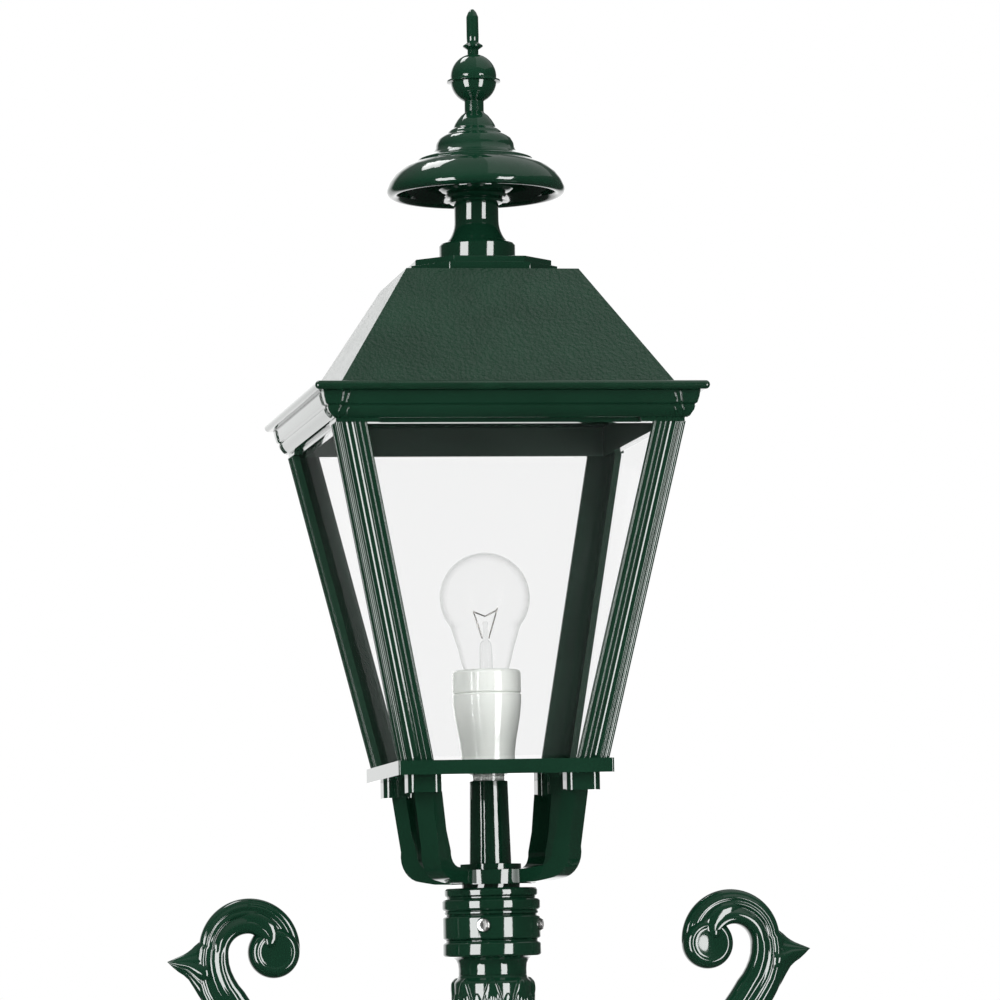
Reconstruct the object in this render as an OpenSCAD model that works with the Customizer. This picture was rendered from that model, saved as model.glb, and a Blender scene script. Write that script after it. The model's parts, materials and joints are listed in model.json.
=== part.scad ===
// Street lamp post with a square lantern, two scroll brackets and a serviceable pedestal.
// Millimetres, +Z up, origin at the middle of the base plate's underside, front towards -Y.

/* [Overall] */
// height of the lantern collar's lower edge above the ground
collar_z = 1860; // [1500:10:2400]
// radius of the steel core tube that carries everything
core_r = 19; // [17:0.5:20]

/* [Lantern frame] */
// half width over the corner posts at the tray
half_bottom = 67; // [60:0.5:75]
// half width over the corner posts at the cornice
half_top = 113; // [95:0.5:114]
// height of the tray's top above the collar edge
tray_top = 116.2; // [100:0.1:130]
// height of the cornice's underside above the collar edge
cornice_z = 329.8; // [260:0.1:400]
// width of one leg of a corner post
leg = 19.5; // [16:0.5:24]
// thickness of one leg of a corner post
leg_t = 4; // [3:0.1:5]
// thickness of a glass pane
glass_t = 3; // [2:0.5:4]

/* [Roof and chimney] */
// half width over the bead of the roof's lip
lip_half = 127.8; // [124:0.1:130]
// half width of the roof slope at its foot
roof_half = 110.3; // [100:0.1:116]
// half width of the roof slope at its top
roof_top_half = 57; // [46:0.5:70]
// radius of the smoke hood's rim
hood_r = 59.3; // [56:0.1:66]
// radius of the finial ball
ball_r = 15.4; // [10:0.1:20]

/* [Lamp] */
// radius of the bulb's globe
bulb_r = 30; // [22:0.5:32]

/* [Scroll brackets] */
// distance of the scroll's eye from the post's axis
eye_x = 146.5; // [140:0.5:150]
// radius of the scroll's eye
eye_r = 15.8; // [14:0.1:17]
// thickness of a bracket
arm_t = 20; // [14:1:26]

/* [Post] */
// radius of the upper fluted shaft
shaft_r = 30; // [26:1:36]
// radius of the lower fluted shaft
lower_r = 38; // [34:1:46]
// half width of the pedestal
pedestal_half = 80; // [70:1:95]
// height of the pedestal's top
pedestal_z = 330; // [300:5:420]
// half distance between the anchor bolts
anchor_half = 92; // [90:1:96]

/* [Hidden] */
green = [0.08, 0.2, 0.14];
steel = [0.75, 0.76, 0.78];
brass = [0.8, 0.65, 0.3];
white = [0.92, 0.92, 0.9];
black = [0.1, 0.1, 0.1];
clear = [0.85, 0.93, 0.95, 0.35];
lean_a = atan((half_top - half_bottom) / (cornice_z - tray_top));
lean_d = atan(sqrt(2) * (half_top - half_bottom) / (cornice_z - tray_top));
dihedral = (180 - acos(pow(sin(lean_a), 2))) / 2;
cornice_top = cornice_z + 19.5;
roof_z = cornice_top + 4.2;
roof_top = roof_z + 83.1;
plate_top = roof_top + 10.2;
hinge_y = 132.5;
hinge_z = cornice_top + 0.5;
door_y = -pedestal_half - 4.8;
door_x = -52.5;
lock_x = 30;
lock_z = 170;
hub_z = -137;
core_top = 20;
screw_turns = [-109, -19, 116];
core_bore = core_r + 0.3;

function arc(cx, cy, r, a0, a1, n = 8) =
  [for (i = [0:n]) [cx + r * cos(a0 + (a1 - a0) * i / n), cy + r * sin(a0 + (a1 - a0) * i / n)]];
function octagon(h, c) = [[h, h - c], [h - c, h], [c - h, h], [-h, h - c], [-h, c - h], [c - h, -h],
  [h - c, -h], [h, c - h]];

module lift() translate([0, 0, collar_z]) children();
module turned(points) rotate_extrude($fn = 96) polygon(points);
module slab(z0, z1) translate([0, 0, z0]) linear_extrude(z1 - z0) children();
module drill(r, z0, z1) translate([0, 0, z0]) cylinder(h = z1 - z0, r = r, $fn = 48);
module corners(d) for (x = [-d, d], y = [-d, d]) translate([x, y, 0]) children();
module round_square(h, r) {
  square([2 * h, 2 * (h - r)], center = true);
  square([2 * (h - r), 2 * h], center = true);
  for (x = [r - h, h - r], y = [r - h, h - r]) translate([x, y]) circle(r, $fn = 32);
}

// ---------- post ----------
module base_plate() color(green) difference() {
  slab(0, 14) round_square(112, 12);
  corners(anchor_half) drill(7, -1, 15);
  drill(15, -1, 15);
}

module pedestal() color(green) {
  h = pedestal_half;
  difference() {
    union() {
      slab(14, pedestal_z) polygon(octagon(h, 20));
      slab(14, 40) polygon(octagon(h + 12, 24));
      slab(40, 46) polygon(octagon(h + 7, 22.5));
      slab(46, 50) polygon(octagon(h + 3, 21));
      slab(pedestal_z - 28, pedestal_z - 22) polygon(octagon(h + 3, 21));
      slab(pedestal_z - 22, pedestal_z - 16) polygon(octagon(h + 7, 22.5));
      slab(pedestal_z - 16, pedestal_z - 6) polygon(octagon(h + 11, 24));
      for (z = [90, 130.5, 190, 230.5]) {
        translate([door_x, door_y, z]) cylinder(h = 19.7, r = 4.2, $fn = 32);
        translate([door_x - 4.2, door_y, z]) cube([4.2, 5, 19.7]);
      }
    }
    slab(13, pedestal_z - 12) polygon(octagon(h - 7, 17));
    drill(core_bore, 0, pedestal_z + 1);
    translate([-40, -h - 20, 70]) cube([80, 30, 200]);
    for (z = [89, 189]) translate([door_x, door_y, z]) cylinder(h = 62.5, r = 1.95, $fn = 24);
  }
}

module core_tube() color(steel) difference() {
  drill(core_r, 14, collar_z + core_top);
  drill(core_r - 3.5, 13, collar_z + core_top + 1);
  translate([-12, -core_r - 5, 55]) cube([24, 12, 45]);
}

module service_door() color(green) difference() {
  union() {
    translate([-47, -86, 63]) cube([94, 5.7, 214]);
    translate([-37, -87.6, 76]) cube([74, 2, 188]);
    for (z = [110.1, 210.1]) {
      translate([door_x, door_y, z]) cylinder(h = 20, r = 4.2, $fn = 32);
      translate([door_x, -86, z]) cube([7, 5, 20]);
    }
  }
  for (z = [100, 200]) translate([door_x, door_y, z]) cylinder(h = 40, r = 1.98, $fn = 24);
  translate([lock_x, -90, lock_z]) rotate([-90, 0, 0]) cylinder(h = 20, r = 6.1, $fn = 32);
}

module door_hinge_pins() color(steel) for (z = [89, 189])
  translate([door_x, door_y, z]) {
    cylinder(h = 62.4, r = 1.9, $fn = 24);
    translate([0, 0, 61.4]) cylinder(h = 2, r = 3.2, $fn = 24);
  }

module door_lock() color(steel) translate([lock_x, 0, lock_z]) {
  rotate([90, 0, 0]) difference() {
    union() {
      translate([0, 0, 69.7]) cylinder(h = 19.5, r = 6, $fn = 32);
      translate([0, 0, 87.7]) cylinder(h = 1.8, r = 9, $fn = 32);
    }
    translate([0, 0, 85]) cylinder(h = 6, r = 4.4, $fn = 3);
  }
  translate([-4, -72.7, -18]) cube([8, 3, 18]);
}

module tube_clamp() color(steel) difference() {
  union() {
    drill(core_r + 4, 150, 166);
    translate([-10, -28, 150]) cube([20, 10, 16]);
  }
  drill(core_r + 0.05, 149, 167);
}

module fuse_base() color(black) difference() {
  translate([-30, -50, 110]) cube([60, 22, 110]);
  translate([-27.5, -51, 112.5]) cube([55, 20.5, 105]);
  for (x = [0, 17]) translate([x, -44, 109]) cylinder(h = 5, r = 4, $fn = 24);
}

module fuse_cover() color(clear) difference() {
  translate([-30, -64, 110]) cube([60, 14, 110]);
  translate([-27.5, -61.5, 112.5]) cube([55, 12, 105]);
}

module terminal_block() color(white) difference() {
  translate([-20, -43, 150]) cube([40, 12.5, 18]);
  for (i = [0:3]) translate([-15 + 10 * i, -44, 159]) rotate([-90, 0, 0])
    cylinder(h = 6, r = 2.6, $fn = 24);
}

module cable_glands() color(black) for (x = [0, 17]) translate([x, -44, 0]) difference() {
  union() {
    translate([0, 0, 104]) cylinder(h = 6, r = 7.5, $fn = 6);
    translate([0, 0, 97]) cylinder(h = 7, r = 6, $fn = 32);
  }
  translate([0, 0, 90]) cylinder(h = 22, r = 3.6, $fn = 24);
}

module earth_stud() color(brass) translate([-73, -30, 84]) rotate([0, 90, 0]) {
  cylinder(h = 18, r = 3, $fn = 24);
  translate([0, 0, 7]) cylinder(h = 5, r = 6, $fn = 6);
}

module lamp_cable() color(black) {
  translate([0, 0, 90]) cylinder(h = collar_z - 12.2 - 90, r = 3.4, $fn = 24);
  translate([0, -22, 90]) rotate([0, 90, 0]) rotate([0, 0, -90])
    rotate_extrude(angle = 180, $fn = 64) translate([22, 0]) circle(3.4, $fn = 24);
  translate([0, -44, 90]) cylinder(h = 23, r = 3.4, $fn = 24);
}

module cable_coupler() lift() color(black) difference() {
  union() {
    drill(6.5, -12, 14);
    drill(core_r - 3.7, -12, -8);
  }
  drill(2.7, 2, 15);
}

module flutes(r, n, z0, z1, cut, bore) slab(z0, z1) difference() {
  circle(r, $fn = 96);
  circle(bore, $fn = 96);
  for (i = [0:n - 1]) rotate(360 * (i + 0.5) / n) translate([r + cut * 0.35, 0]) circle(cut, $fn = 32);
}

module foot_ring() color(green) translate([0, 0, pedestal_z]) turned(concat(
  [[core_bore, 0], [66, 0], [66, 5]], arc(58, 9.5, 8, -30, 90, 6), [[52, 17.5], [52, 20]],
  arc(52, 34, 14, 270, 180, 6), [[lower_r + 2, 34], [lower_r + 2, 38], [core_bore, 38]]));

module lower_shaft() color(green) flutes(lower_r, 12, pedestal_z + 38, 848, 6, lower_r - 9);

module middle_ring() color(green) turned(concat([[core_bore, 848], [lower_r + 2, 848],
  [lower_r + 2, 853], [lower_r + 7, 853]], arc(lower_r + 5, 861, 8, -60, 90, 7),
  [[lower_r, 869], [lower_r, 873]], arc(lower_r + 4, 889, 12, 250, 180, 5),
  [[shaft_r + 2.5, 893], [shaft_r + 2.5, 900], [core_bore, 900]]));

module upper_shaft() color(green)
  flutes(shaft_r, 12, 900, collar_z + hub_z, 4.6, shaft_r - 7.5);

module arm_hub() lift() color(green) difference() {
  union() {
    turned([[0, hub_z], [34, hub_z], [35, hub_z + 2], [34, hub_z + 4], [31, hub_z + 6],
      [31, hub_z + 42], [34, hub_z + 44], [35, hub_z + 46], [34, hub_z + 48], [0, hub_z + 48]]);
    translate([-35, -23, hub_z + 6]) cube([70, 46, 36]);
  }
  drill(core_bore, hub_z - 1, hub_z + 49);
  for (s = [-1, 1], y = [-17, 17]) translate([s * 36, y, hub_z + 24])
    rotate([0, -90 * s, 0]) cylinder(h = 14, r = 3.1, $fn = 24);
}

module scroll_outline() polygon(concat(arc(38, 48, 174.5, -89, -29, 24),
  [[196, -27.5], [200.3, -20.4], [204.5, -17], [208.3, -14.6], [213.9, -9], [206.5, -5.8], [200, -2.5],
  [195.9, 1.5]], arc(160, -2, 33.1, 8, 184, 40), [[129.3, -9], [133, -13.2]],
  arc(eye_x, -3.5, eye_r, 218, 375, 30), [[159.2, 4.2], [157, 6.3]], arc(161.5, -4.5, 12.2, 113, -10, 24),
  [[172.8, -14], [170.1, -21.1], [163.8, -29.1]], arc(38, 48, 147.5, -31.5, -89, 24)));

module scroll_arm() lift() color(green) difference() {
  union() {
    rotate([90, 0, 0]) translate([0, 0, -arm_t / 2]) linear_extrude(arm_t) scroll_outline();
    translate([35, -23, hub_z + 6]) cube([7, 46, 36]);
  }
  for (y = [-17, 17]) translate([34, y, hub_z + 24]) rotate([0, 90, 0]) cylinder(h = 9, r = 3.3, $fn = 24);
}
module scroll_arm_right() scroll_arm();
module scroll_arm_left() mirror([1, 0, 0]) scroll_arm();

module arm_bolts() lift() color(steel) for (s = [-1, 1], y = [-17, 17])
  translate([s * 42, y, hub_z + 24]) rotate([0, 90 * s, 0]) {
    cylinder(h = 4.5, r = 5.8, $fn = 6);
    translate([0, 0, -18]) cylinder(h = 18, r = 3, $fn = 24);
  }

module capital() lift() color(green) turned([[core_bore, -89], [31, -89], [33, -87], [33, -84],
  [31, -82], [29.2, -80], [29, -74], [30.5, -62], [30, -50], [28.6, -40], [27.4, -31],
  [26.8, -26.5], [24.4, -23.6], [22.6, -22], [core_bore, -22]]);

module post_neck() lift() color(green) turned([[core_bore, -22], [22.5, -22], [22.4, -18],
  [22.8, -14.5], [24, -12], [26, -10.6], [28.6, -10.1], [31.2, -9.9], [32.3, -8.8], [32.3, -1.7],
  [31.2, -0.5], [30.2, -0.4], [30.2, 0.8], [core_bore, 0.8]]);

// ---------- lantern head ----------
module collar() lift() color(green) difference() {
  turned([[core_r + 0.08, 0.8], [30.2, 0.8], [31.2, 1.3], [32.1, 2.2], [32.1, 15.4], [31.2, 16.3],
    [29.6, 16.6], [29.6, 17.4], [30.9, 17.8], [30.9, 19.4], [29.8, 19.7], [31.4, 20.2], [32.3, 21.4],
    [32.3, 26.2], [31.4, 27.4], [29.2, 27.8], [29.2, 29.2], [30.4, 29.6], [30.6, 31], [30.6, 33.4],
    [29.4, 34.6], [4.3, 34.6], [4.3, 31], [core_r + 0.08, 31]]);
  for (a = screw_turns) rotate([0, 90, a]) translate([-10.4, 0, core_r - 2])
    cylinder(h = 20, r = 4.05, $fn = 32);
}

module collar_screws() lift() color(steel) for (a = screw_turns)
  rotate([0, 90, a]) translate([-10.4, 0, core_r + 0.15]) difference() {
    union() {
      cylinder(h = 14, r = 4, $fn = 32);
      translate([0, 0, 13.8]) cylinder(h = 1.2, r = 3.4, $fn = 32);
    }
    translate([0, 0, 11.8]) cylinder(h = 5, r = 2.3, $fn = 6);
  }

module cradle_arm() rotate([90, 0, 0]) translate([0, 0, -7]) linear_extrude(14)
  polygon(concat([[17, 37.2], [40, 37.9], [46, 38.8]], arc(50.3, 57, 17.3, -85, 10, 8), [[74, 97],
  [62.5, 97], [58.5, 72]], arc(44.3, 57.8, 9.8, 5, -90, 6), [[33, 46.6], [17, 46.4]]));

module cradle() lift() color(green) difference() {
  union() {
    drill(19.2, 34.6, 37);
    drill(27, 37, 46.4);
    drill(19.4, 46, 47);
    drill(20.1, 47, 50.3);
    for (i = [0:3]) rotate(45 + 90 * i) {
      cradle_arm();
      rotate(-45) translate([52, 52, 96]) linear_extrude(10.97) round_square(11, 5);
    }
  }
  drill(4.3, 30, 60);
  corners(53) drill(2.2, 99, 108);
}

module riser_tube() lift() color(green) difference() {
  turned([[4.3, 50.3], [13.8, 50.3], [12.5, 104.7], [4.3, 104.7]]);
  drill(11, 50, 101);
}

module riser_washer() lift() color(white) difference() {
  drill(10.5, 104.7, 106.95);
  drill(4.3, 104, 108);
}

module hollow_stud() lift() color(steel) difference() {
  drill(4.1, 24, 132);
  drill(2.8, 23, 133);
}

module stud_nuts() lift() color(steel) for (z = [25, 124]) difference() {
  translate([0, 0, z]) cylinder(h = z < 60 ? 6 : 5, r = 7.2, $fn = 6);
  drill(4.15, z - 1, z + 7);
}

module tray() lift() color(green) difference() {
  slab(107, tray_top) round_square(70.5, 1.5);
  drill(4.3, 100, 120);
  corners(53) drill(2.7, 100, 120);
  for (i = [0:3]) rotate(90 * i) translate([38, 0, 0]) drill(5, 100, 120);
}

module frame_screws() lift() color(steel) corners(53) {
  drill(2.1, 99.4, tray_top + 0.5);
  difference() {
    drill(4, tray_top, tray_top + 2.6);
    translate([0, 0, tray_top + 1.2]) cylinder(h = 3, r = 1.8, $fn = 6);
  }
}

module leg_outline(s) {
  u = [cos(dihedral), s * sin(dihedral)];
  n = [sin(dihedral), -s * cos(dihedral)];
  difference() {
    union() {
      polygon([[0, 0], leg * u, leg * u + leg_t * n, [leg_t / sin(dihedral), 0]]);
      for (b = [[1.8, 0.35, 1.0], [3.8, 0.35, 0.9], [11.4, 0.2, 1.0], [14.8, 0.25, 0.7], [18.5, 0.3, 0.9]])
        translate(b[0] * u + b[1] * n) circle(b[2], $fn = 20);
    }
    translate(7.6 * u - 4.2 * n) circle(5.2, $fn = 48);
  }
}

module corner_post(turn) lift() color(green) intersection() {
  rotate(turn) translate([sqrt(2) * half_bottom, 0, tray_top]) rotate([0, lean_d, 0])
    translate([0, 0, -20]) linear_extrude(270) rotate(180) {
      leg_outline(1);
      leg_outline(-1);
      translate([0.9, 0]) circle(1.6, $fn = 20);
    }
  translate([-200, -200, tray_top]) cube([400, 400, cornice_z - tray_top]);
}
module corner_post_front_left() corner_post(-135);
module corner_post_front_right() corner_post(-45);
module corner_post_back_right() corner_post(45);
module corner_post_back_left() corner_post(135);

module side_plane(turn) rotate(turn) translate([0, -half_bottom, tray_top])
  rotate([90 + lean_a, 0, 0]) children();

module pane(turn) lift() color(clear) {
  slope = (cornice_z - tray_top) / cos(lean_a);
  s0 = 1.6;
  s1 = slope - 2;
  inset = leg_t + glass_t + 2;
  h0 = half_bottom + s0 * sin(lean_a) - inset;
  h1 = half_bottom + s1 * sin(lean_a) - inset;
  side_plane(turn) translate([0, 0, -leg_t - 0.1 - glass_t]) linear_extrude(glass_t)
    polygon([[-h0, s0], [h0, s0], [h1, s1], [-h1, s1]]);
}
module glass_front() pane(0);
module glass_right() pane(90);
module glass_back() pane(180);
module glass_left() pane(270);

// offsets from the inner flange, from its foot up
cornice_profile = [[0, 0], [0.4, 2.5], [3.4, 2.5], [4.8, 2.8], [7.3, 4.5], [9, 6.9], [9.7, 9.4],
  [9.2, 10], [9.4, 10.6], [10.9, 11.3], [12, 15], [12.8, 19.5]];
function half_cornice(s) = [for (p = cornice_profile) [s * (109.5 + p[0]), cornice_z + p[1]]];
module moulding() rotate([90, 0, 0]) translate([0, 0, -130]) linear_extrude(260) polygon(
  concat(half_cornice(1), [for (i = [len(cornice_profile) - 1:-1:0]) half_cornice(-1)[i]]));

module cornice() lift() color(green) difference() {
  union() {
    intersection() {
      moulding();
      rotate(90) moulding();
    }
    slab(cornice_z, cornice_z + 2.8) corners(99) square(28.6, center = true);
    for (s = [-1, 1]) {
      translate([55 * s - 5, 118, hinge_z - 9]) cube([10, hinge_y - 118, 8]);
      translate([55 * s - 5, hinge_y, hinge_z]) rotate([0, 90, 0]) cylinder(h = 10, r = 3.8, $fn = 32);
    }
  }
  slab(cornice_z - 1, cornice_top + 1) square(206, center = true);
  for (s = [-1, 1]) translate([55 * s - 6, hinge_y, hinge_z]) rotate([0, 90, 0])
    cylinder(h = 12, r = 1.95, $fn = 24);
}

module lampholder_body() lift() color(white) difference() {
  turned([[4.4, tray_top], [17.7, tray_top], [17.7, 122.4], [18.6, 130], [20.4, 140], [21.8, 148],
    [22.7, 156], [22.7, 161.4], [22, 162.2], [14.6, 162.2], [14.6, 140], [8, 140], [8, 124], [4.4, 124]]);
}

module lampholder_ring() lift() color(white) turned(concat([[16.8, 162.2], [22, 162.2], [22.7, 163]],
  arc(20.2, 175.2, 2.5, 0, 90, 5), [[17.6, 177.7], [16.8, 177]]));

module holder_shell() lift() color(brass) turned(concat([[14.5, 142], [14.5, 165]],
  [for (i = [23:-1:1]) [14.05 + 0.15 * (i % 2), 142 + i]], [[14.05, 142]]));

module holder_contact() lift() color(brass) difference() {
  union() {
    drill(13, 140, 141.4);
    drill(4.2, 141.4, 147.4);
  }
  drill(2.3, 139, 145);
}

module holder_lead() lift() color(black) drill(2.2, 4, 140);

module bulb_cap() lift() color(steel) turned(concat([[0, 147.5], [4.6, 147.5], [5.2, 149], [10.5, 151.5]],
  [for (i = [0:9]) [12.9 + 0.45 * (i % 2), 152.5 + 1.8 * i]], [[13.2, 171], [13.2, 172.5], [12.7, 172.5],
  [12.4, 152.6], [0, 152.6]]));

function globe(r, t) = concat([[12.3 - t, 160], [12.3 - t, 172.8], [13.4 - t, 175], [15.6 - t, 178.2],
  [16.8 - t, 184], [18.6 - t, 192], [21.6 - t, 201]], arc(0, 225.5, r - t, -40, 90, 18));
module bulb_glass() lift() color(clear) difference() {
  turned(concat([[0, 160]], globe(bulb_r, 0)));
  turned(concat([[0, 159]], [[11.3, 159]], globe(bulb_r, 1)));
}

module bulb_stem() lift() color(clear) turned([[0, 160.5], [10.6, 160.5], [10.6, 162], [7, 165],
  [4.4, 171], [4.2, 192], [3.4, 196], [1.4, 198], [1.4, 207], [2, 208.5], [1.2, 210], [0, 210]]);

module wire(x, z, tilt, length) translate([x, 0, z]) rotate([0, tilt, 0])
  cylinder(h = length, r = 0.45, $fn = 16);
module filament() lift() color(steel) {
  wire(-2.2, 198.6, -17, 19);
  wire(2.2, 198.6, 17, 21);
  wire(-7.9, 216.4, 112, 8.6);
  wire(0, 213.2, 63, 9.2);
}

// ---------- roof ----------
module roof_hinge_pins() lift() color(steel) for (s = [-1, 1])
  translate([49.85 * s - 10.2, hinge_y, hinge_z]) rotate([0, 90, 0]) cylinder(h = 20.4, r = 1.9, $fn = 24);

module roof_shell() lift() color(green) difference() {
  bead = 2.8;
  m = lip_half - bead;
  union() {
    slab(cornice_top, roof_z) square(2 * m, center = true);
    for (i = [0:3]) rotate(90 * i) {
      translate([-m, -m, cornice_top + bead]) rotate([0, 90, 0]) cylinder(h = 2 * m, r = bead, $fn = 24);
      translate([-m, -m, cornice_top + bead]) sphere(r = bead, $fn = 24);
    }
    translate([0, 0, roof_z]) linear_extrude(roof_top - roof_z, scale = roof_top_half / roof_half)
      square(2 * roof_half, center = true);
    for (s = [-1, 1]) {
      translate([44.8 * s - 4.9, hinge_y, hinge_z]) rotate([0, 90, 0]) cylinder(h = 9.8, r = 3.8, $fn = 32);
      translate([44.8 * s - 4.9, m - 1, hinge_z - 0.4]) cube([9.8, hinge_y - m + 1, 3.9]);
    }
  }
  slab(cornice_top - 1, roof_z + 0.01) square(204, center = true);
  inner = roof_half - 3.2;
  translate([0, 0, roof_z])
    linear_extrude(roof_top - roof_z - 2.6, scale = (roof_top_half - 1.6) / inner)
      square(2 * inner, center = true);
  drill(14, roof_top - 5, roof_top + 1);
  corners(13.5) drill(2.2, roof_top - 5, roof_top + 1);
  for (s = [-1, 1]) translate([44.8 * s - 6, hinge_y, hinge_z]) rotate([0, 90, 0])
    cylinder(h = 12, r = 1.98, $fn = 24);
}

module vent_plate() lift() color(green) difference() {
  union() {
    slab(roof_top, roof_top + 5.7) polygon(octagon(48.8, 22));
    slab(roof_top + 5.7, plate_top) polygon(octagon(45.5, 22));
  }
  drill(14, roof_top - 1, plate_top + 1);
  corners(13.5) drill(2.2, roof_top - 1, plate_top + 1);
}

module vent_screws() lift() color(steel) corners(13.5) {
  drill(2, roof_top - 3, plate_top + 8);
  translate([0, 0, roof_top - 5.6]) cylinder(h = 3, r = 3.9, $fn = 6);
}

module chimney_neck() lift() color(green) {
  difference() {
    turned(concat([[11.5, plate_top], [25.4, plate_top], [25.4, 459.2], [24.6, 460.4], [21, 461.2],
      [19.9, 462.2]], arc(35.3, 476, 20.5, 220.9, 180, 6), [[14.8, 487.5], [17.4, 488.1], [18.4, 489.5],
      [17.4, 490.9], [19.4, 491.5], [20.8, 493.1], [19.6, 494.8], [22.4, 495.7], [24.6, 497.3],
      [25, 499.5], [25, 503.8], [24, 505], [11.5, 505]]));
    corners(13.5) drill(2.05, plate_top - 1, plate_top + 8.4);
  }
  difference() {
    union() {
      for (i = [0:1]) rotate(90 * i) translate([-12, -2.5, 499]) cube([24, 5, 6]);
      drill(8, 499, 505);
    }
    drill(3.1, 498, 506);
  }
}

module tie_rod() lift() color(steel) {
  drill(3, 490, 565.6);
  translate([0, 0, 493]) cylinder(h = 6, r = 6.2, $fn = 6);
}

module smoke_hood() lift() color(green) turned(concat([[3.1, 505], [8.5, 505], [8.5, 526], [20, 526],
  [23.5, 519.6], [26, 517.4], [34, 514.6], [41, 511.4], [46, 507.6], [49.8, 502.6], [51.3, 498.8]],
  arc(hood_r - 3.9, 496.7, 3.9, 180, 370, 8), [[57.9, 501.4], [54.8, 506.2], [49.8, 510.8],
  [43.8, 514], [38.4, 515.9], [38.4, 517.2], [37, 518], [31, 520.3], [28.4, 521.6], [26.6, 524.4],
  [26, 527.6], [24.6, 530.6], [22.2, 532.8], [18.6, 534], [18.1, 534.7], [17.7, 535.9], [16.4, 537.1],
  [14.4, 538.3], [13.6, 540.7], [11.8, 543.7], [9.4, 546.7], [6.9, 548.8], [6.45, 549.6], [3.1, 549.6]]));

module finial_ball() lift() color(green) turned(concat([[0, 566], [3.1, 566], [3.1, 549.6], [6.45, 549.6],
  [6.45, 556.4]], arc(0, 570.6, ball_r, -64, -6, 6), [[16.2, 569.3], [17.8, 569.5], [17.8, 570.5],
  [16.2, 571]], arc(0, 573.2, ball_r, -6, 74, 10), [[3.9, 588], [0, 588]]));

module finial_spike() lift() color(green) turned([[0, 588], [3.72, 588], [3.72, 591.3], [6.2, 593],
  [6.7, 593.4], [6.7, 594.2], [6.2, 594.6], [3.95, 596.2], [4.12, 600], [4.05, 613.5], [2.8, 616.6],
  [1.2, 618.6], [0, 619]]);

base_plate();
pedestal();
core_tube();
service_door();
door_hinge_pins();
door_lock();
tube_clamp();
fuse_base();
fuse_cover();
terminal_block();
cable_glands();
earth_stud();
lamp_cable();
cable_coupler();
foot_ring();
lower_shaft();
middle_ring();
upper_shaft();
arm_hub();
scroll_arm_left();
scroll_arm_right();
arm_bolts();
capital();
post_neck();
collar();
collar_screws();
cradle();
riser_tube();
riser_washer();
hollow_stud();
stud_nuts();
tray();
frame_screws();
corner_post_front_left();
corner_post_front_right();
corner_post_back_right();
corner_post_back_left();
glass_front();
glass_right();
glass_back();
glass_left();
cornice();
lampholder_body();
lampholder_ring();
holder_shell();
holder_contact();
holder_lead();
bulb_cap();
bulb_glass();
bulb_stem();
filament();
roof_hinge_pins();
roof_shell();
vent_plate();
vent_screws();
chimney_neck();
tie_rod();
smoke_hood();
finial_ball();
finial_spike();
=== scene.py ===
import bpy, bmesh, json, math
from mathutils import Vector, Matrix


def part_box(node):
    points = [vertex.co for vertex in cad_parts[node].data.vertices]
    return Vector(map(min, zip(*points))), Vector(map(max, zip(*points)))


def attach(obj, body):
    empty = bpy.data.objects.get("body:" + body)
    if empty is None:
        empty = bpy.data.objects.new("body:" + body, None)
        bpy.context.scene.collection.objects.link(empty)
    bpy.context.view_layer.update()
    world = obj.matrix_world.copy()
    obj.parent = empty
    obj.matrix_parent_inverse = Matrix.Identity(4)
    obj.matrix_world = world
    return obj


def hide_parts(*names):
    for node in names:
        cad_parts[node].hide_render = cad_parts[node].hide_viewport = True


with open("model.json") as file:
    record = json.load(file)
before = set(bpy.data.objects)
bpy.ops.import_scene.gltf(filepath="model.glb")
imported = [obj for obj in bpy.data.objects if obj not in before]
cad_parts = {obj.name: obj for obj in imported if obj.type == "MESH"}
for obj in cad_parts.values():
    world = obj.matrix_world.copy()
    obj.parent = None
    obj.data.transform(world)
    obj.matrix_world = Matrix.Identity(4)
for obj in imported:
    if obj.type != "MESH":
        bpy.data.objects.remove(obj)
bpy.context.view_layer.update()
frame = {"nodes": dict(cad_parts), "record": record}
NODES = frame["nodes"]
SCENE = bpy.context.scene
MM = 0.001
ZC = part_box("post_neck")[1].z - 0.8 * MM      # height of the lantern collar's lower edge


# ---------------------------------------------------------------- materials
def new_material(name):
    m = bpy.data.materials.new(name)
    m.use_nodes = True
    nt = m.node_tree
    return m, nt, nt.nodes["Principled BSDF"]


def noise_node(nt, scale, detail=3.0, rough=0.5):
    tc = nt.nodes.new("ShaderNodeTexCoord")
    n = nt.nodes.new("ShaderNodeTexNoise")
    n.inputs["Scale"].default_value = scale
    n.inputs["Detail"].default_value = detail
    n.inputs["Roughness"].default_value = rough
    nt.links.new(tc.outputs["Object"], n.inputs["Vector"])
    return n


def ramp(nt, source, stops):
    r = nt.nodes.new("ShaderNodeValToRGB")
    el = r.color_ramp.elements
    while len(el) < len(stops):
        el.new(0.5)
    for e, (pos, col) in zip(el, stops):
        e.position = pos
        e.color = col if len(col) == 4 else (*col, 1)
    nt.links.new(source, r.inputs["Fac"])
    return r.outputs["Color"]


def to_range(nt, source, lo, hi):
    m = nt.nodes.new("ShaderNodeMapRange")
    m.inputs["To Min"].default_value = lo
    m.inputs["To Max"].default_value = hi
    nt.links.new(source, m.inputs["Value"])
    return m.outputs["Result"]


def bump(nt, bsdf, source, strength, distance):
    b = nt.nodes.new("ShaderNodeBump")
    b.inputs["Strength"].default_value = strength
    b.inputs["Distance"].default_value = distance
    nt.links.new(source, b.inputs["Height"])
    nt.links.new(b.outputs["Normal"], bsdf.inputs["Normal"])


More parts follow.
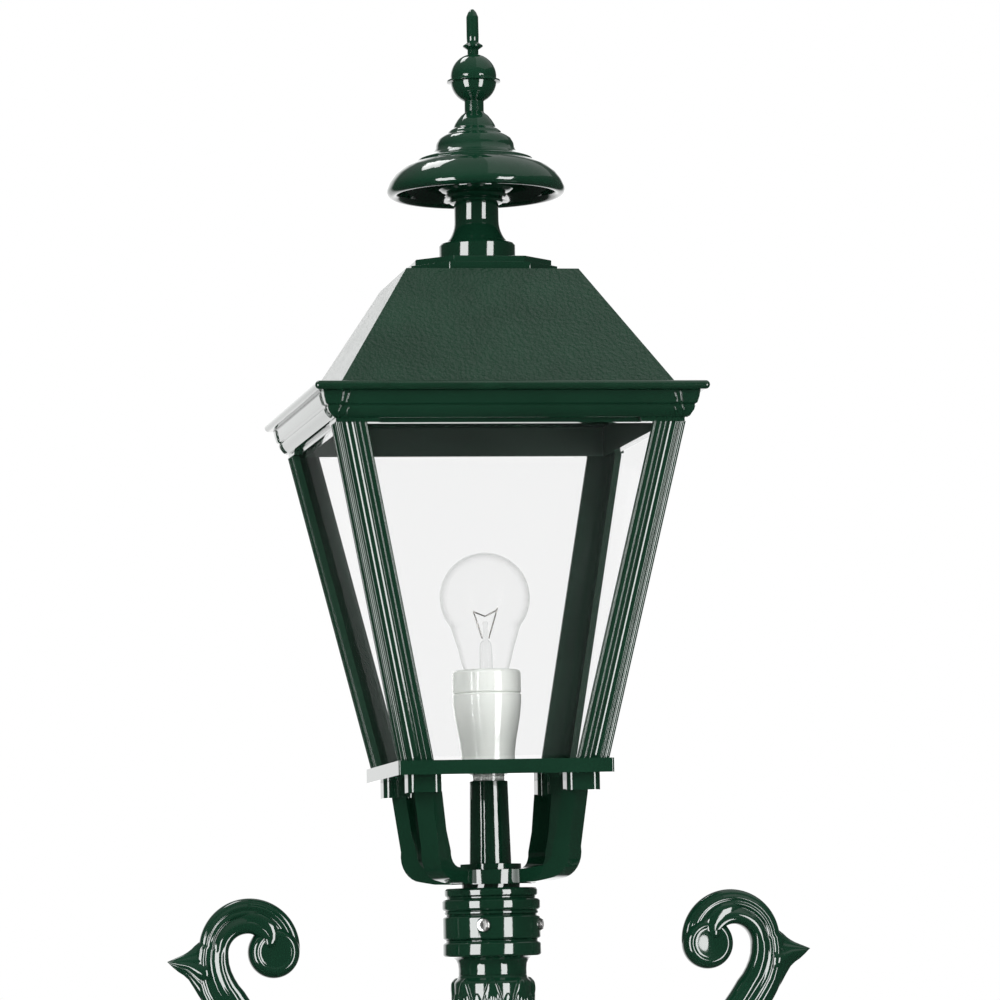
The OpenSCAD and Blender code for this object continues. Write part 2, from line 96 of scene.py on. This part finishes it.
def faces_axis(nt):
    """1 on faces that look towards the lantern's axis, where the castings are left unpolished."""
    geo = nt.nodes.new("ShaderNodeNewGeometry")
    flat = nt.nodes.new("ShaderNodeVectorMath")
    flat.operation = "MULTIPLY"
    flat.inputs[1].default_value = (1, 1, 0)
    nt.links.new(geo.outputs["Position"], flat.inputs[0])
    dot = nt.nodes.new("ShaderNodeVectorMath")
    dot.operation = "DOT_PRODUCT"
    nt.links.new(flat.outputs["Vector"], dot.inputs[0])
    nt.links.new(geo.outputs["Normal"], dot.inputs[1])
    less = nt.nodes.new("ShaderNodeMath")
    less.operation = "LESS_THAN"
    less.inputs[1].default_value = -0.01
    nt.links.new(dot.outputs["Value"], less.inputs[0])
    return less.outputs["Value"]


def surface(name, dark, light, rough, scale, peel=(0.1, 0.0002, 500), metallic=0.0, dull_inside=False):
    """A finish whose colour and roughness wander a little, with a fine bump."""
    m, nt, p = new_material(name)
    n = noise_node(nt, scale)
    nt.links.new(ramp(nt, n.outputs["Fac"], [(0.3, dark), (0.7, light)]), p.inputs["Base Color"])
    roughness = to_range(nt, n.outputs["Fac"], *rough)
    if dull_inside:
        inside = faces_axis(nt)
        more = nt.nodes.new("ShaderNodeMath")
        more.operation = "MULTIPLY_ADD"
        more.inputs[1].default_value = 0.4
        nt.links.new(inside, more.inputs[0])
        nt.links.new(roughness, more.inputs[2])
        roughness = more.outputs["Value"]
        nt.links.new(to_range(nt, inside, 0.5, 0.12), p.inputs["Specular IOR Level"])
    nt.links.new(roughness, p.inputs["Roughness"])
    p.inputs["Metallic"].default_value = metallic
    fine = noise_node(nt, peel[2], 2.0)
    bump(nt, p, fine.outputs["Fac"], peel[0], peel[1])
    return m


GREEN = ((0.0028, 0.0185, 0.0092), (0.0038, 0.0235, 0.012), (0.05, 0.09), 22, (0.05, 0.0003, 260))
PAINT = surface("green_gloss", *GREEN)
FRAME_PAINT = surface("green_gloss_frame", *GREEN, dull_inside=True)
LIP_ROUGHNESS, SLOPE_ROUGHNESS = (0.06, 0.1), (0.19, 0.25)
ROOF = surface("green_roof", (0.0028, 0.0165, 0.0082), (0.0038, 0.0215, 0.0108), LIP_ROUGHNESS, 40)
GALV = surface("galvanised", (0.38, 0.39, 0.4), (0.58, 0.59, 0.6), (0.32, 0.5), 60, metallic=1.0)
STAINLESS = surface("stainless", (0.55, 0.55, 0.54), (0.7, 0.7, 0.69), (0.14, 0.26), 300, metallic=1.0)
ZINC = surface("zinc_steel", (0.5, 0.5, 0.47), (0.64, 0.64, 0.6), (0.25, 0.4), 200, metallic=1.0)
BRASS = surface("brass", (0.62, 0.44, 0.17), (0.8, 0.6, 0.28), (0.18, 0.3), 200, metallic=1.0)
PORCELAIN = surface("porcelain", (0.82, 0.85, 0.81), (0.88, 0.9, 0.86), (0.06, 0.12), 50,
                    (0.03, 0.0002, 150))
TERMINAL = surface("terminal_white", (0.66, 0.66, 0.6), (0.74, 0.74, 0.69), (0.4, 0.5), 120)
BLACK = surface("black_plastic", (0.014, 0.014, 0.015), (0.024, 0.024, 0.025), (0.4, 0.55), 120)
CABLE = surface("cable_black", (0.014, 0.014, 0.014), (0.022, 0.022, 0.022), (0.5, 0.65), 150)
CAP = surface("bulb_cap", (0.6, 0.6, 0.58), (0.74, 0.74, 0.72), (0.2, 0.34), 260, metallic=1.0)
TUNGSTEN = surface("tungsten", (0.16, 0.15, 0.14), (0.24, 0.23, 0.22), (0.3, 0.4), 400, metallic=1.0)


def glass(name, tint, alpha, rough, rim=None):
    """Clear glass by its share of light kept back, which grows to rim where it's seen edge on."""
    m, nt, p = new_material(name)
    n = noise_node(nt, 30)
    nt.links.new(ramp(nt, n.outputs["Fac"], [(0.35, tint), (0.65, tuple(c * 0.97 for c in tint))]),
                 p.inputs["Base Color"])
    nt.links.new(to_range(nt, n.outputs["Fac"], rough * 0.6, rough), p.inputs["Roughness"])
    p.inputs["Alpha"].default_value = alpha
    if rim is not None:
        w = nt.nodes.new("ShaderNodeLayerWeight")
        w.inputs["Blend"].default_value = 0.35
        a = nt.nodes.new("ShaderNodeMapRange")
        a.interpolation_type = "SMOOTHSTEP"
        a.inputs["From Min"].default_value, a.inputs["From Max"].default_value = 0.25, 0.95
        a.inputs["To Min"].default_value, a.inputs["To Max"].default_value = alpha, rim
        nt.links.new(w.outputs["Facing"], a.inputs["Value"])
        nt.links.new(a.outputs["Result"], p.inputs["Alpha"])
    return m


PANE = glass("pane_glass", (0.1, 0.115, 0.11), 0.034, 0.03)
BULB = glass("bulb_glass", (0.3, 0.33, 0.31), 0.022, 0.03, rim=0.42)
STEM_GLASS = glass("bulb_glass_stem", (0.62, 0.66, 0.64), 0.1, 0.05, rim=0.5)
COVER = glass("clear_cover", (0.4, 0.42, 0.44), 0.4, 0.1)



def grain_on_slopes(m, slope):
    """A leathery, duller coat where the surface leans as the roof's four slopes do."""
    nt = m.node_tree
    p = nt.nodes["Principled BSDF"]
    tc = nt.nodes.new("ShaderNodeTexCoord")
    axes = nt.nodes.new("ShaderNodeSeparateXYZ")
    nt.links.new(tc.outputs["Normal"], axes.inputs["Vector"])
    near = nt.nodes.new("ShaderNodeMath")
    near.operation = "COMPARE"
    near.inputs[1].default_value, near.inputs[2].default_value = slope, 0.05
    nt.links.new(axes.outputs["Z"], near.inputs[0])
    rough = noise_node(nt, 40)
    blend = nt.nodes.new("ShaderNodeMapRange")
    nt.links.new(near.outputs["Value"], blend.inputs["Value"])
    nt.links.new(to_range(nt, rough.outputs["Fac"], *LIP_ROUGHNESS), blend.inputs["To Min"])
    nt.links.new(to_range(nt, rough.outputs["Fac"], *SLOPE_ROUGHNESS), blend.inputs["To Max"])
    nt.links.new(blend.outputs["Result"], p.inputs["Roughness"])
    old = p.inputs["Normal"].links[0].from_node
    old.inputs["Distance"].default_value = 0.0011
    nt.links.new(to_range(nt, near.outputs["Value"], 0.03, 0.8), old.inputs["Strength"])
    grain = noise_node(nt, 420, 2.0)
    nt.links.new(grain.outputs["Fac"], old.inputs["Height"])


grain_on_slopes(ROOF, max(NODES["roof_shell"].data.polygons, key=lambda f: f.area).normal.z)

BY_SLOT = {"green_gloss": PAINT, "green_roof": ROOF, "galvanised": GALV, "stainless": STAINLESS,
           "zinc_steel": ZINC, "brass": BRASS, "porcelain": PORCELAIN, "terminal_white": TERMINAL,
           "black_plastic": BLACK, "clear_cover": COVER, "cable_black": CABLE, "pane_glass": PANE,
           "bulb_glass": BULB, "bulb_cap": CAP, "tungsten": TUNGSTEN}
SLOT_OF = {s["node"]: s["material_slot"] for s in frame["record"]["subparts"]}


def soften(ob, width, segments=2, angle=28):
    """Rounds the hard edges of a mesh whose faces come apart, and shades it smooth."""
    me = ob.data
    if "custom_normal" in me.attributes:
        me.attributes.remove(me.attributes["custom_normal"])
    me.polygons.foreach_set("use_smooth", [True] * len(me.polygons))
    w = ob.modifiers.new("weld", "WELD")
    w.merge_threshold = 2e-6
    b = ob.modifiers.new("bevel", "BEVEL")
    b.width = width * MM
    b.segments = segments
    b.limit_method = "ANGLE"
    b.angle_limit = math.radians(angle)
    b.use_clamp_overlap = True
    b.harden_normals = False
    n = ob.modifiers.new("normals", "WEIGHTED_NORMAL")
    n.weight = 80
    n.keep_sharp = False


WIDTHS = {"cradle": 1.4, "tray": 0.7, "pedestal": 1.2, "base_plate": 1.5, "cornice": 0.5,
          "service_door": 1.0, "vent_plate": 0.7}
for name, ob in NODES.items():
    ob.data.materials.clear()
    ob.data.materials.append(BY_SLOT[SLOT_OF[name]])
    if SLOT_OF[name].startswith("green") or name in ("lampholder_body", "lampholder_ring", "collar_screws"):
        soften(ob, WIDTHS.get(name, 0.4))
NODES["bulb_stem"].data.materials[0] = STEM_GLASS
for name, ob in NODES.items():
    if name == "cornice" or name.startswith("corner_post"):
        ob.data.materials[0] = FRAME_PAINT

# ---------------------------------------------------------------- carved and turned pieces
def arc(cx, cy, r, a0, a1, n):
    """n + 1 points of a circle from angle a0 to a1 in degrees."""
    return [(cx + r * math.cos(math.radians(a0 + (a1 - a0) * i / n)),
             cy + r * math.sin(math.radians(a0 + (a1 - a0) * i / n))) for i in range(n + 1)]


def smooth_step(lo, hi, x):
    """0 up to lo, 1 from hi on, with a soft change between; lo may be the larger."""
    t = min(max((x - lo) / (hi - lo), 0.0), 1.0)
    return t * t * (3 - 2 * t)


def shell(rows, closed_rows=False, closed_columns=True):
    """Faces between rows of equally many points, as indices from 0."""
    n, m, faces = len(rows), len(rows[0]), []
    for i in range(n if closed_rows else n - 1):
        for j in range(m if closed_columns else m - 1):
            a, b = i * m + j, i * m + (j + 1) % m
            c, d = ((i + 1) % n) * m + (j + 1) % m, ((i + 1) % n) * m + j
            faces.append((a, b, c, d))
    return [p for r in rows for p in r], faces


def add_piece(name, parts, slot_name, body, *nodes):
    """One object from (points, faces) parts in millimetres from the axis and the collar's edge."""
    points, faces = [], []
    for ps, fs in parts:
        faces += [tuple(i + len(points) for i in f) for f in fs]
        points += [(x * MM, y * MM, ZC + z * MM) for x, y, z in ps]
    me = bpy.data.meshes.new(name)
    me.from_pydata(points, [], faces)
    bm = bmesh.new()
    bm.from_mesh(me)
    bmesh.ops.remove_doubles(bm, verts=bm.verts, dist=1e-6)
    bmesh.ops.dissolve_degenerate(bm, dist=1e-7, edges=bm.edges)
    bmesh.ops.recalc_face_normals(bm, faces=bm.faces)
    bm.to_mesh(me)
    bm.free()
    me.polygons.foreach_set("use_smooth", [True] * len(me.polygons))
    me.materials.append(BY_SLOT[slot_name])
    ob = bpy.data.objects.new(name, me)
    SCENE.collection.objects.link(ob)
    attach(ob, body)
    if nodes:
        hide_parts(*nodes)
    return ob


def rounded(points, rounds=3):
    """An open outline with its corners cut round and its ends kept."""
    for _ in range(rounds):
        cut = [points[0]]
        for (x0, z0), (x1, z1) in zip(points, points[1:]):
            cut += [(0.75 * x0 + 0.25 * x1, 0.75 * z0 + 0.25 * z1),
                    (0.25 * x0 + 0.75 * x1, 0.25 * z0 + 0.75 * z1)]
        points = cut + [points[-1]]
    return points


def turned_skin(name, outline, slot_name, body, node, steps=128):
    """The skin that an outline of (radius, height) sweeps round the axis."""
    turns = [2 * math.pi * j / steps for j in range(steps)]
    rows = [[(r * math.cos(a), r * math.sin(a), z) for a in turns] for r, z in outline]
    return add_piece(name, [shell(rows)], slot_name, body, node)


def groove(u, places):
    """Depth at u of grooves given as (middle, depth, half width)."""
    return sum(d * math.exp(-((u - c) / w) ** 2) for c, d, w in places)


STEM = [(0.17, 0.8, 0.045), (0.36, 1.0, 0.05), (0.57, 1.5, 0.065), (0.8, 0.8, 0.05)]
HOOK = [(0.14, 0.7, 0.045), (0.3, 0.9, 0.05), (0.46, 1.4, 0.035)]


def band_height(u, t):
    """Half thickness of the bracket at u from its outer to its inner edge, at t along it."""
    k = smooth_step(0.4, 0.6, t)
    edge = abs(2 * u - 1)
    stem = 9.7 * (1 - edge ** 3.4) ** 0.5 - groove(u, STEM) * smooth_step(1.0, 0.86, edge)
    if u > 0.46:
        hook = 10 * (1 - min(abs((u - 0.73) / 0.275), 1) ** 2.8) ** 0.55
    else:
        hook = 0
    flat = 7.4 * (1 - (1 - min(u / 0.4, 1)) ** 3) ** 0.5 - groove(u, HOOK)
    hook = max(hook, flat if u < 0.62 else 0, 0)
    if u in (0, 1):
        return 0
    return max(stem * (1 - k) + hook * k, 0.05)


def flat_strip(outer, inner, height, n=56):
    """A closed strip between two edges, as thick to both sides as height(u, t) says."""
    rows, m = [], len(outer)
    for i in range(m):
        t = i / (m - 1)
        ring = []
        for side in (-1, 1):
            span = range(n + 1) if side < 0 else range(n - 1, 0, -1)
            for j in span:
                u = 0.5 - 0.5 * math.cos(math.pi * j / n)
                x = outer[i][0] + (inner[i][0] - outer[i][0]) * u
                z = outer[i][1] + (inner[i][1] - outer[i][1]) * u
                ring.append((x, side * height(u, t), z))
        rows.append(ring)
    points, faces = shell(rows)
    k = len(rows[0])
    faces += [tuple(range(k)), tuple(range((m - 1) * k, m * k))]
    return points, faces


def round_cap(cx, cz, radius, height, rings=26, steps=72):
    """A disc with both faces shaped by height(rho, angle), rho from 0 at the middle to 1."""
    parts = []
    for side in (-1, 1):
        rows = []
        for i in range(rings + 1):
            rho = math.sin(0.5 * math.pi * i / rings)
            rows.append([(cx + radius * rho * math.cos(2 * math.pi * j / steps),
                          side * height(rho, 2 * math.pi * j / steps),
                          cz + radius * rho * math.sin(2 * math.pi * j / steps)) for j in range(steps)])
        parts.append(shell(rows))
    return parts


BALL_R = 17.1


def ball_height(rho, angle):
    """Half thickness of the eye of the scroll: a rounded rim about a hollowed face."""
    if rho >= 0.999:
        return 0
    r = rho * BALL_R
    rim = 9.4 * (1 - max((r - 11.6) / 5.5, 0) ** 2.2) ** 0.5
    inside = 0.75 + 0.5 * math.exp(-(r / 5.5) ** 2)
    k = smooth_step(9.4, 11.8, r)
    return max(rim * k + (rim - inside) * (1 - k) if r < 12.4 else rim, 0.05)


def finger(path, widths, top=10.0, n=20):
    """A raised tongue with a round end on both faces of the bracket."""
    parts = []
    for side in (-1, 1):
        rows = []
        for i, ((x, z), w) in enumerate(zip(path, widths)):
            a, b = Vector(path[max(i - 1, 0)]), Vector(path[min(i + 1, len(path) - 1)])
            d = (b - a).normalized()
            row = []
            for j in range(n + 1):
                q = math.cos(math.pi * j / n)
                drop = 2.6 * (1 - math.sqrt(max(1 - q * q, 0))) if 0 < i < len(path) - 1 else 2.6
                rise = top - drop - 1.6 * max(1 - i / 3, 0)
                row.append((x - d.y * w * q, side * rise, z + d.x * w * q))
            rows.append(row)
        parts.append(shell(rows, closed_columns=False))
    return parts


globe = rounded([(12.2, 160.2), (12.2, 166), (12.2, 172.5), (13.2, 175), (15, 178.4), (16.7, 184),
                 (18.5, 192), (21.5, 200.8)] + arc(0, 225.5, 29.9, -40, 90, 36), 2)
turned_skin("bulb_glass_skin", globe, "bulb_glass", "lantern", "bulb_glass")

# a bracket's side view, with x from the post's axis
outer = (arc(38, 48, 174.5, -89, -29, 70)
         + [(193.4, -30.4), (195.2, -23), (196.2, -15), (196, -7), (194.7, 0.5)]
         + arc(160, -2, 33.1, 8, 184, 70))
inner = (arc(38, 48, 147.5, -89, -31.5, 70)
         + [(167.2, -24.9), (169.8, -20.6), (171.9, -16), (173.2, -11.4), (173.6, -7.2)]
         + arc(161.5, -4.5, 12.2, -6, 113, 70))
spur_top = [(188, 8), (192.5, 3.6), (195.9, 0.9), (198, -1.2), (200.6, -3.1), (203.4, -4.7), (206.5, -6),
            (210.4, -7.6), (213.7, -9)]
spur_low = [(186, -42), (190.4, -36.6), (193.6, -31.6), (196.6, -26.4), (200, -20.9), (203.2, -17.9),
            (206.6, -15.7), (210.2, -12.6), (213.7, -9.1)]


def spur_height(u, t):
    """Half thickness of the spur behind the scroll, which thins to its tip at t = 1."""
    if u in (0, 1):
        return 0
    edge = abs(2 * u - 1)
    h = 9.2 * (1 - t) ** 0.8 + 0.6
    ridge = 0.5 * (1 - edge ** 3) ** 0.5 + 0.5 * (1 - edge) ** 1.1
    return max(h * (ridge - 0.1 * groove(edge, [(0.3, 1, 0.07), (0.62, 1, 0.07)])), 0.05)


tongue = [(167, 14.6), (160, 15.8), (155, 15.4), (151, 13.4), (148.3, 10.5), (147, 7.4), (146.9, 4.6),
          (147.6, 2.2), (149.2, 0.4), (150.2, -0.4)]
tongue_w = [5.4, 6.2, 6.4, 6.2, 5.9, 5.5, 5, 4, 2.4, 0.3]
arm_parts = [flat_strip(outer, inner, band_height), flat_strip(spur_top, spur_low, spur_height, 32)]
arm_parts += round_cap(144.2, -4.2, BALL_R, ball_height)
arm_parts += finger(tongue, tongue_w)


def plate(x0, x1, y0, y1, z0, z1):
    ps = [(x, y, z) for x in (x0, x1) for y in (y0, y1) for z in (z0, z1)]
    return ps, [(0, 1, 3, 2), (4, 6, 7, 5), (0, 4, 5, 1), (2, 3, 7, 6), (0, 2, 6, 4), (1, 5, 7, 3)]


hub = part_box("arm_hub")
HUB_Z = (hub[0].z - ZC) / MM
arm_parts.append(plate(35, 42, -23, 23, HUB_Z + 6, HUB_Z + 42))
for side, name in ((1, "right"), (-1, "left")):
    parts = [([(side * x, y, z) for x, y, z in ps], fs) for ps, fs in arm_parts]
    add_piece("scroll_arm_" + name + "_carved", parts, "green_gloss", "post", "scroll_arm_" + name)


LEAF_TURN = -101      # degrees; a leaf looks at the front


def capital_radius(a, z):
    """Radius of the leaf capital at angle a in degrees and height z in millimetres."""
    base = [(-89, 31), (-87.6, 32.4), (-87, 33), (-84, 33), (-83.4, 32.4), (-82, 31), (-80, 28.4),
            (-76, 27.4), (-62, 27.2), (-50, 26.8), (-40, 26.3), (-33, 26.0), (-27.5, 25.9), (-26.2, 25.4),
            (-23.6, 22.9), (-22, 22.5)]
    for (z0, r0), (z1, r1) in zip(base, base[1:]):
        if z0 <= z <= z1:
            r = r0 + (r1 - r0) * (z - z0) / (z1 - z0)
            break
    fade = smooth_step(-81.5, -78, z)
    best = 0.0
    for shift, tip, tall, size in ((0, -23.8, 1.0, 20.5), (22.5, -34, 0.62, 15)):
        phi = (a - LEAF_TURN - shift + 22.5) % 45 - 22.5
        t = (tip - z) / (tip + 79)
        if t <= 0:
            continue
        half = size * min(1.0, (t / 0.42) ** 0.62) * (1 - 0.18 * t)
        e = abs(phi) / half
        if e >= 1:
            continue
        rim = 1.5 * (1 - e ** 6) ** 0.5
        flutes = 0.75 + 0.3 * math.cos(2 * math.pi * phi / (half * 0.44))
        k = smooth_step(0.86, 0.7, e) * smooth_step(0.16, 0.3, t)
        h = tall * (rim * (1 - k) + flutes * k)
        h += 0.45 * tall * math.exp(-((t - 0.13) / 0.06) ** 2) * math.exp(-((phi + 2) / 5) ** 2)
        h += 0.5 * tall * math.exp(-(phi / 1.3) ** 2) * smooth_step(0.5, 0.7, t)
        best = max(best, h)
    return r + best * fade


CAPITAL_LOW, CAPITAL_TOP, CAPITAL_BORE, LEVELS = -89, -22, 19.5, 134
rows = []
for i in range(720):
    a = i * 0.5
    ca, sa = math.cos(math.radians(a)), math.sin(math.radians(a))
    row = [(CAPITAL_BORE * ca, CAPITAL_BORE * sa, z) for z in (CAPITAL_TOP, CAPITAL_LOW)]
    for j in range(LEVELS + 1):
        z = CAPITAL_LOW + (CAPITAL_TOP - CAPITAL_LOW) * j / LEVELS
        r = capital_radius(a, z)
        row.append((r * ca, r * sa, z))
    rows.append(row)
add_piece("capital_leaves", [shell(rows, closed_rows=True)], "green_gloss", "post", "capital")

# the cornice's moulding as (height, reach past its frame)
CORNICE_FRAME = 109.5
CORNICE_SIDE = [(331.8, 3.2), (332.6, 4.8), (334.3, 7.3), (336.7, 9.0), (339.2, 9.7), (339.8, 9.2),
                (340.4, 9.4), (341.1, 10.9), (344.8, 12), (349.2, 12.8)]


def cornice_out(z):
    """Half width of the cornice at height z."""
    for (z0, p0), (z1, p1) in zip(CORNICE_SIDE, CORNICE_SIDE[1:]):
        if z0 <= z <= z1:
            return CORNICE_FRAME + p0 + (p1 - p0) * (z - z0) / (z1 - z0)
    return CORNICE_FRAME + CORNICE_SIDE[-1][1]


def bead(path, r, n=10):
    """A thin rod of radius r along a path, tapered at its ends."""
    rows = []
    for i, p in enumerate(path):
        a, b = Vector(path[max(i - 1, 0)]), Vector(path[min(i + 1, len(path) - 1)])
        d = (b - a).normalized()
        u = d.cross(Vector((0, 1, 0))).normalized()
        v = d.cross(u).normalized()
        end = 0.35 if i in (0, len(path) - 1) else 1
        rows.append([tuple(Vector(p) + r * end * (math.cos(k) * u + math.sin(k) * v))
                     for k in (2 * math.pi * j / n for j in range(n))])
    points, faces = shell(rows)
    return points, faces + [tuple(range(n)), tuple(range(len(points) - n, len(points)))]


beads = []
for path in (((349, 108.9), (345.8, 109.4), (342.2, 110), (338, 111.2), (335, 112.1), (333.4, 112.6)),
             ((348.2, 105.4), (345, 106.2), (343, 106.9), (341.2, 107.2)),
             ((339, 105.4), (337.4, 106), (335.5, 106.8), (333.3, 107.6))):
    fine = [(z, x) for (z0, x0), (z1, x1) in zip(path, path[1:])
            for z, x in ((z0 + (z1 - z0) * k / 5, x0 + (x1 - x0) * k / 5) for k in range(6))]
    for s in (-1, 1):
        line = [(s * x, -cornice_out(z) + 0.25, z) for z, x in fine]
        for q in range(4):
            ca, sa = math.cos(q * math.pi / 2), math.sin(q * math.pi / 2)
            beads.append(bead([(x * round(ca) - y * round(sa), x * round(sa) + y * round(ca), z)
                               for x, y, z in line], 0.85))
add_piece("cornice_corner_beads", beads, "green_gloss", "lantern")

# ---------------------------------------------------------------- stage, camera, light
def light(name, size, place, aim, strength, diffuse=True, glossy=True):
    data = bpy.data.lights.new(name, "AREA")
    data.shape = "RECTANGLE"
    data.size, data.size_y = size
    data.energy = strength * size[0] * size[1] * math.pi
    ob = bpy.data.objects.new(name, data)
    SCENE.collection.objects.link(ob)
    ob.location = place
    ob.rotation_euler = (Vector(aim) - Vector(place)).to_track_quat("-Z", "Y").to_euler()
    ob.visible_diffuse = diffuse
    ob.visible_glossy = glossy
    ob.visible_transmission = glossy
    ob.visible_camera = False
    return ob


CAM_YAW, CAM_PITCH, CAM_ROLL = (math.radians(a) for a in (10.14, 5.32, -1.25))
cam_place = Vector((-0.5619, -3.2072, ZC - 0.0132))
ahead = Vector((math.sin(CAM_YAW) * math.cos(CAM_PITCH), math.cos(CAM_YAW) * math.cos(CAM_PITCH),
                math.sin(CAM_PITCH)))
side = Vector((math.cos(CAM_YAW), -math.sin(CAM_YAW), 0))
up = side.cross(ahead)
right = math.cos(CAM_ROLL) * side + math.sin(CAM_ROLL) * up
above = math.cos(CAM_ROLL) * up - math.sin(CAM_ROLL) * side
cam = bpy.data.objects.new("camera", bpy.data.cameras.new("camera"))
SCENE.collection.objects.link(cam)
cam.data.sensor_width = 36
cam.data.lens = 4951.7 * 36 / 1000
cam.data.clip_start, cam.data.clip_end = 0.1, 60
turn = Matrix((right, above, -ahead)).transposed()
cam.matrix_world = Matrix.Translation(cam_place) @ turn.to_4x4()
SCENE.camera = cam


def around(angle, distance, height):
    """A place seen from the post at that angle from the camera's side, to the right if positive."""
    a = math.radians(-100.14 + angle)
    return Vector((math.cos(a) * distance, math.sin(a) * distance, height))


mid = ZC + 0.25
light("strip_left", (1.05, 2.0), around(-39.5, 2.4, mid - 0.3), (0, 0, mid - 0.3), 17, diffuse=False)
light("strip_right", (0.85, 1.95), around(39.5, 2.4, mid - 0.33), (0, 0, mid - 0.33), 17, diffuse=False)
light("back_left", (0.95, 0.6), (-0.72, 0.85, mid + 2.1), (0, 0, mid + 0.2), 9, diffuse=False)
light("canopy", (2.0, 3.0), (1.2, 0, mid + 1.6), (1.2, 0, mid), 0.4, diffuse=False)
light("soft_left", (1.6, 2.4), around(-42, 2.6, mid + 0.8), (0, 0, mid - 0.3), 7.2, glossy=False)
light("soft_right", (1.6, 2.4), around(42, 2.6, mid + 0.6), (0, 0, mid - 0.3), 5.6, glossy=False)
light("soft_top", (2.5, 2.5), (0, -0.6, mid + 2.6), (0, 0, mid), 2.6, glossy=False)

world = bpy.data.worlds.new("studio")
SCENE.world = world
world.use_nodes = True
wn, wl = world.node_tree.nodes, world.node_tree.links
wn.clear()
out = wn.new("ShaderNodeOutputWorld")
coord = wn.new("ShaderNodeTexCoord")
dot = wn.new("ShaderNodeVectorMath"); dot.operation = "DOT_PRODUCT"
dot.inputs[1].default_value = (0.02, 1.0, 0.0)
wl.new(coord.outputs["Generated"], dot.inputs[0])
back = wn.new("ShaderNodeMapRange")
back.inputs["From Min"].default_value, back.inputs["From Max"].default_value = 0.8, 0.9
back.inputs["To Min"].default_value, back.inputs["To Max"].default_value = 0.0, 1.6
wl.new(dot.outputs["Value"], back.inputs["Value"])
sep = wn.new("ShaderNodeSeparateXYZ")
wl.new(coord.outputs["Generated"], sep.inputs["Vector"])
sky = wn.new("ShaderNodeMapRange")
sky.inputs["From Min"].default_value, sky.inputs["From Max"].default_value = 0.35, 0.95
sky.inputs["To Min"].default_value, sky.inputs["To Max"].default_value = 0.085, 0.38
wl.new(sep.outputs["Z"], sky.inputs["Value"])
top = wn.new("ShaderNodeMath"); top.operation = "MAXIMUM"
wl.new(back.outputs["Result"], top.inputs[0])
wl.new(sky.outputs["Result"], top.inputs[1])
path = wn.new("ShaderNodeLightPath")
seen = wn.new("ShaderNodeMapRange")
wl.new(path.outputs["Is Camera Ray"], seen.inputs["Value"])
wl.new(top.outputs["Value"], seen.inputs["To Min"])
seen.inputs["To Max"].default_value = 1.0
bg = wn.new("ShaderNodeBackground")
bg.inputs["Color"].default_value = (1, 1, 1, 1)
wl.new(seen.outputs["Result"], bg.inputs["Strength"])
wl.new(bg.outputs["Background"], out.inputs["Surface"])

floor_mesh = bpy.data.meshes.new("floor")
floor_mesh.from_pydata([(-14, -14, 0), (14, -14, 0), (14, 14, 0), (-14, 14, 0)], [], [(0, 1, 2, 3)])
floor = bpy.data.objects.new("floor", floor_mesh)
SCENE.collection.objects.link(floor)
floor.location.z = -0.0005
floor_pale = surface("floor_pale", (0.8, 0.8, 0.8), (0.84, 0.84, 0.84), (0.6, 0.8), 3)
glow = floor_pale.node_tree.nodes["Principled BSDF"].inputs
glow["Emission Color"].default_value = (1, 1, 1, 1)
glow["Emission Strength"].default_value = 0.4
floor_mesh.materials.append(floor_pale)
floor.visible_glossy = False
SCENE.view_settings.view_transform = "Standard"
SCENE.view_settings.look = "None"
